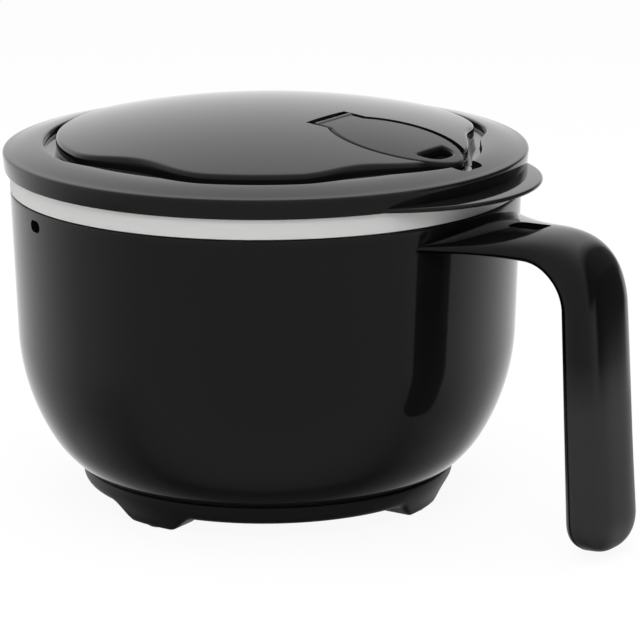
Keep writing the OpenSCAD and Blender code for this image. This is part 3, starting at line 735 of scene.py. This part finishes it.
def lid_profile(a):
    """Section of the lid at bearing a, with the groove's outer side as its inner edge."""
    g = groove_edge(a)
    top = flange_z(g + 0.6)
    steps = [g + 0.6 + (EDGE_R - 2 - g - 0.6) * i / 14 for i in range(15)]
    edge_top = PLATE_TOP - 0.9
    return (
        [(0.0, PLATE_TOP), (40.0, PLATE_TOP), (g - 0.8, PLATE_TOP)]
        + [(g - 0.15, PLATE_TOP + 0.15), (g, PLATE_TOP + 0.5)]
        + arc(g + 0.6, top - 0.6, 0.6, 180, 100, 6)
        + [(r, flange_z(r)) for r in steps]
        + arc(EDGE_R - 0.9, edge_top, 0.9, 78, 0, 8)
        + [(SKIRT_OUT + 0.1, SKIRT_Z + 0.6), (SKIRT_OUT - 0.1, SKIRT_Z + 0.1)]
        + [(SKIRT_OUT - 0.3, SKIRT_Z), (SKIRT_IN, SKIRT_Z), (SKIRT_IN, PLATE_Z)]
        + [(GUIDE_OUT, PLATE_Z), (GUIDE_OUT, PLATE_Z - GUIDE_DEPTH)]
        + [(GUIDE_OUT - GUIDE_T, PLATE_Z - GUIDE_DEPTH), (GUIDE_OUT - GUIDE_T, PLATE_Z)]
        + [(0.0, PLATE_Z)]
    )


lid = new_object("lid_plate", *swept(lid_profile, LID_SIDES))
notch = round_corners(LEAF_TIP, NOTCH_L, NOTCH_W, NOTCH_R)
cut(lid, *prism(notch, lambda x, y: PLATE_TOP, lambda x, y: PLATE_TOP + 8))
cut(lid, *rod(vent_axis(0), vent_axis(20), VENT_D / 2))
finish_piece(lid, LID, "lid", ["lid_body"])


def thumb_tab():
    """Crescent at the lower edge of the skirt, over the handle."""
    cx, inner_r, n = TAB_REACH - TAB_R, SKIRT_IN + SKIRT_T / 2, 96
    # Bearing on the tab's circle at which it meets the skirt.
    meet = math.degrees(math.acos((inner_r**2 - cx**2 - TAB_R**2) / (2 * cx * TAB_R)))
    verts, faces = [], []
    rim = arc(0, TAB_T / 2, TAB_T / 2, -90, 90, 8)
    section = len(rim) + 2
    for j in range(n + 1):
        b = rad(-meet + 2 * meet * j / n)
        out = Vector((cx + TAB_R * math.cos(b), TAB_R * math.sin(b), 0))
        root = out.normalized() * inner_r
        reach = (out - root).length
        way = (out - root).normalized() if reach > 1e-6 else out.normalized()
        soft = min(TAB_T / 2, reach)
        ring = [root + Vector((0, 0, SKIRT_Z))]
        ring += [
            root + way * (reach - soft + soft * p[0] / (TAB_T / 2)) + Vector((0, 0, SKIRT_Z + p[1]))
            for p in rim
        ]
        ring += [root + Vector((0, 0, SKIRT_Z + TAB_T))]
        verts += ring
    for j in range(n):
        a, b = j * section, (j + 1) * section
        for i in range(section):
            h = (i + 1) % section
            faces.append([a + i, b + i, b + h, a + h])
    faces.append(list(range(section)))
    faces.append(list(range(n * section, (n + 1) * section)))
    return new_object("thumb_tab", verts, faces)


finish_piece(thumb_tab(), LID, "lid")


# ---- Dome ----


def dome_profile(a):
    """Section of the dome at bearing a."""
    rim = groove_edge(a) - GROOVE_W
    inner = rim - DOME_EDGE
    top = cap_z(inner)
    tilt = math.degrees(math.asin(inner / DOME_R))
    steps = [0.0] + [inner * ((i / 30) ** 0.8) for i in range(1, 30)]
    rounding = arc(inner, top - DOME_EDGE, DOME_EDGE, 90 - tilt, 0, 10)
    return [(r, cap_z(r)) for r in steps] + rounding + [(rim, PLATE_TOP), (0.0, PLATE_TOP)]


def plan_outline(g, end_gap, n=48):
    """Plan of the flap grown by g: neck and leaf, anticlockwise from the tip."""
    half, neck = LEAF_L / 2 + g, NECK_W / 2 + g
    side = []
    for i in range(n + 1):
        c = math.cos(math.pi * i / n)
        x, y = LEAF_C + half * c, (LEAF_W / 2 + g) * (1 - c * c) ** LEAF_POWER
        if x < LEAF_C and y < neck:
            break
        side.append((x, y))
    c = -math.sqrt(1 - (neck / (LEAF_W / 2 + g)) ** (1 / LEAF_POWER))
    side.append((LEAF_C + half * c, neck))
    side += [(LEAF_C + half * c - 3, neck), (HINGE_X - end_gap, neck)]
    return side + [(x, -y) for x, y in side[:0:-1]]


def sphere_normal(co, flat):
    """Exact normal on the top of the dome and on that of the flap."""
    r = math.hypot(co.x, co.y)
    if min(abs(co.z - cap_z(r) + sunk) for sunk in (0.0, FLAP_SINK)) > 0.02:
        return None
    exact = Vector((co.x, co.y, co.z - DOME_C)).normalized()
    return exact if exact.dot(flat) > 0.985 else None


dome = new_object("dome_cap", *swept(dome_profile, LID_SIDES))
barrel_room = BARREL_D / 2 + 0.8
cut(
    dome,
    *prism(
        plan_outline(FLAP_GAP + SEAM_EXTRA, barrel_room),
        lambda x, y: min(underside_z(x), PIN_Z) - 0.4,
        lambda x, y: CROWN_Z + 10,
    ),
)
cut(dome, *rod(vent_axis(STOPPER_T + 0.4), vent_axis(-8), STOPPER_D / 2 + 0.6))
cut(dome, *rod(vent_axis(-1), vent_axis(12), VENT_D / 2))
finish_piece(dome, LID, "lid", ["lid_dome"], normal_at=sphere_normal)


# ---- Vent flap ----


def eye_outline(n=32):
    """Opening with a straight side towards the hinge and a full round side towards the tip."""
    turns = [math.pi * i / n for i in range(n + 1)]
    bow = [
        (EYE_X + EYE_H * math.sin(t), -EYE_W / 2 * signed_pow(math.cos(t), 2 / 3)) for t in turns
    ]
    return bow + line((EYE_X, EYE_W / 2), (EYE_X, -EYE_W / 2), 10)[1:]


def inset(loop, d):
    """Loop moved to its left by d."""
    n, out = len(loop), []
    for i in range(n):
        p, q, s = Vector(loop[i - 1]), Vector(loop[i]), Vector(loop[(i + 1) % n])
        u, v = (q - p).normalized(), (s - q).normalized()
        way = Vector((-(u + v).y, (u + v).x))
        way = way.normalized() if way.length > 1e-6 else Vector((-v.y, v.x))
        out.append(tuple(q + way * d / max(0.5, way.dot(Vector((-v.y, v.x))))))
    return out


def in_loop(p, loop):
    """Whether a point lies inside a loop."""
    hit = False
    for (x0, y0), (x1, y1) in zip(loop, loop[1:] + loop[:1]):
        if (y0 > p[1]) != (y1 > p[1]) and p[0] < (x1 - x0) * (p[1] - y0) / (y1 - y0) + x0:
            hit = not hit
    return hit


def plate(name, outline, holes, z_top, z_low, soft, pitch, steps=5):
    """Plate between two surfaces over a plan with holes, its upper edges rounded."""
    verts, faces, rims = [], [], []
    for loop in [outline] + [h[::-1] for h in holes]:
        rings = []
        for i in range(steps + 1):
            t = math.pi / 2 * i / steps
            moved = inset(loop, soft * (1 - math.sin(t)))
            rings.append([(x, y, z_top(x, y) - soft * (1 - math.cos(t))) for x, y in moved])
        rings.append([(x, y, z_low(x, y)) for x, y in loop])
        first, n = len(verts), len(loop)
        for k, ring in enumerate(rings):
            verts += ring
            if k:
                a, b = first + (k - 1) * n, first + k * n
                faces += [[a + i, b + i, b + (i + 1) % n, a + (i + 1) % n] for i in range(n)]
        rims.append(([first + i for i in range(n)], [len(verts) - n + i for i in range(n)]))
    for level, surface in ((0, z_top), (1, z_low)):
        flat, edges, origin, boundary = [], [], [], []
        for rim in rims:
            start, n = len(flat), len(rim[level])
            origin += rim[level]
            boundary.append([tuple(Vector(verts[v][:2])) for v in rim[level]])
            flat += [Vector(verts[v][:2]) for v in rim[level]]
            edges += [(start + i, start + (i + 1) % n) for i in range(n)]

        def inside(point):
            return in_loop(point, boundary[0]) and not any(
                in_loop(point, hole) for hole in boundary[1:]
            )

        xs, ys = [p[0] for p in boundary[0]], [p[1] for p in boundary[0]]
        x = min(xs) + pitch / 2
        while x < max(xs):
            y = min(ys)
            while y < max(ys):
                near = min((Vector((x, y)) - f).length for f in flat[: len(origin)])
                if inside((x, y)) and near > pitch * 0.6:
                    flat.append(Vector((x, y)))
                y += pitch
            x += pitch
        points, _, triangles, sources, _, _ = delaunay_2d_cdt(flat, edges, [], 1, 1e-6)
        where = []
        for p, source in zip(points, sources):
            known = [v for v in source if v < len(origin)]
            if known:
                where.append(origin[known[0]])
            else:
                where.append(len(verts))
                verts.append((p.x, p.y, surface(p.x, p.y)))
        for t in triangles:
            if inside(sum((points[i] for i in t), Vector((0, 0))) / len(t)):
                faces.append([where[i] for i in t])
    return new_object(name, verts, faces)


flap = plate(
    "vent_flap_leaf",
    plan_outline(0, 0),
    [eye_outline()],
    lambda x, y: cap_z(math.hypot(x, y)) - FLAP_SINK,
    lambda x, y: underside_z(x),
    FLAP_ROUND,
    2.5,
)
finish_piece(flap, FLAP, "flap", ["vent_flap"], crease=40.0, normal_at=sphere_normal)
hinge_ends = [(HINGE_X, y, PIN_Z) for y in (-NECK_W / 2, NECK_W / 2)]
barrel = new_object("flap_barrel", *rod(*hinge_ends, BARREL_D / 2, 64))
finish_piece(barrel, FLAP, "flap")


# ---- Floor, light and camera ----


def environment():
    """White all round for the camera.

    Reflections see the same white behind the object and a dimmer room in front of it.
    """
    world = bpy.data.worlds.new("studio")
    scene.world = world
    world.use_nodes = True
    tree = world.node_tree
    tree.nodes.clear()
    way = add_node(tree, "TexCoord").outputs["Generated"]
    height = add_node(tree, "SeparateXYZ", {"Vector": way}).outputs["Z"]

    def towards(x, y):
        """How far a ray goes in a level direction, -1 to 1."""
        inputs = {0: way, 1: (x, y, 0.0)}
        return add_node(tree, "VectorMath", inputs, operation="DOT_PRODUCT").outputs["Value"]

    # Level round the horizon: 0 is behind the object, 1 is in front of it.
    front = map_range(tree, towards(0.5736, -0.8192), -1.0, 1.0, 0.0, 1.0)
    ramp = add_node(tree, "ValToRGB", {"Fac": front})
    stops = [(0.0, 1.0), (0.18, 1.0), (0.28, 0.82), (0.37, 0.66), (0.45, 0.52)]
    stops += [(0.6, 0.4), (0.75, 0.31), (1.0, 0.28)]
    while len(ramp.color_ramp.elements) < len(stops):
        ramp.color_ramp.elements.new(0.5)
    for element, (at, value) in zip(ramp.color_ramp.elements, stops):
        element.position = at
        element.color = (value, value, value, 1)

    # A dark gap behind the handle, wider above.
    gap_way = towards(0.559, 0.829)
    window = maths(
        tree,
        "MULTIPLY",
        map_range(tree, height, -0.25, -0.18, 0.0, 1.0),
        map_range(tree, height, 0.22, 0.28, 1.0, 0.0),
    )
    narrow = maths(tree, "MULTIPLY", map_range(tree, gap_way, 0.88, 0.94, 0.0, 0.93), window)
    wide = maths(
        tree,
        "MULTIPLY",
        map_range(tree, gap_way, 0.64, 0.78, 0.0, 0.88),
        map_range(tree, height, -0.1, 0.05, 0.0, 1.0),
    )
    gap = maths(tree, "MAXIMUM", narrow, wide)
    # Darker towards the table, but less so in front.
    down = maths(
        tree,
        "MULTIPLY",
        map_range(tree, height, -0.55, -0.15, 0.42, 1.0),
        map_range(tree, height, -0.9, -0.6, 0.2, 1.0),
    )
    down = maths(tree, "MAXIMUM", down, map_range(tree, front, 0.4, 0.75, 0.0, 0.8))
    level = maths(tree, "MULTIPLY", down, map_range(tree, gap, 0.0, 1.0, 1.0, 0.0))

    dim = {0: ramp.outputs["Color"], "Scale": level}
    colour = add_node(tree, "VectorMath", dim, operation="SCALE").outputs["Vector"]
    room = add_node(tree, "Background", {"Color": colour, "Strength": 1.0})
    white = add_node(tree, "Background", {"Color": (1, 1, 1, 1), "Strength": 1.0})
    path = add_node(tree, "LightPath").outputs
    backdrop = maths(tree, "MULTIPLY", map_range(tree, front, 0.08, 0.18, 1.0, 0.0), level)
    seen = maths(tree, "MULTIPLY", path["Is Glossy Ray"], backdrop)
    for ray in ("Is Transmission Ray", "Is Camera Ray"):
        seen = maths(tree, "MAXIMUM", seen, path[ray])
    sides = {0: seen, 1: room.outputs["Background"], 2: white.outputs["Background"]}
    choose = add_node(tree, "MixShader", sides)
    add_node(tree, "OutputWorld", {"Surface": choose.outputs["Shader"]})


def area_light(name, at, aim, size, power):
    """Soft lamp that reflections don't show."""
    lamp = bpy.data.lights.new(name, "AREA")
    lamp.shape = "RECTANGLE"
    lamp.size, lamp.size_y = size
    lamp.energy = power
    obj = bpy.data.objects.new(name, lamp)
    obj.location = at
    obj.rotation_mode = "QUATERNION"
    obj.rotation_quaternion = (Vector(aim) - Vector(at)).to_track_quat("-Z", "Y")
    obj.visible_glossy = False
    scene.collection.objects.link(obj)


def floor():
    """Pale floor that keeps the object's shadow."""
    size, z, glow_share = 3000, -0.2, 0.93
    verts = [(-size, -size, z), (size, -size, z), (size, size, z), (-size, size, z)]
    obj = new_object("floor", verts, [[0, 1, 2, 3]])
    mat, tree, shader = new_material(
        "floor", Base_Color=(0.8, 0.8, 0.8, 1), Roughness=0.9, Specular_IOR_Level=0.0
    )
    camera_ray = add_node(tree, "LightPath").outputs["Is Camera Ray"]
    glow = add_node(tree, "Emission", {"Strength": 1.0}).outputs["Emission"]
    share = maths(tree, "MULTIPLY", camera_ray, glow_share)
    mix = add_node(tree, "MixShader", {0: share, 1: shader.outputs["BSDF"], 2: glow})
    tree.links.new(mix.outputs["Shader"], tree.nodes["Material Output"].inputs["Surface"])
    obj.data.materials.append(mat)
    obj.visible_glossy = False


environment()
floor()
area_light("top_soft", (0.0, 0.0, 0.9), (0, 0, 0.1), (0.9, 0.9), 9.0)
area_light("front_soft", (0.5, -0.75, 0.75), (0, 0, 0.08), (0.8, 0.5), 7.0)

# The photograph's camera: its place and the directions of its right, up and back.
camera = bpy.data.cameras.new("camera")
camera.sensor_width = 36.0
camera.lens = 230.75
view = bpy.data.objects.new("camera", camera)
right = Vector((0.82728933, 0.5617602, -0.00422421))
up = Vector((-0.13253235, 0.20247298, 0.97027824))
back = Vector((0.54591899, -0.80214099, 0.24195513))
view.matrix_world = Matrix.Translation((0.703762, -1.005076, 0.360226)) @ Matrix(
    (right, up, back)
).transposed().to_4x4()
scene.collection.objects.link(view)
scene.camera = view
scene.view_settings.view_transform = "Standard"
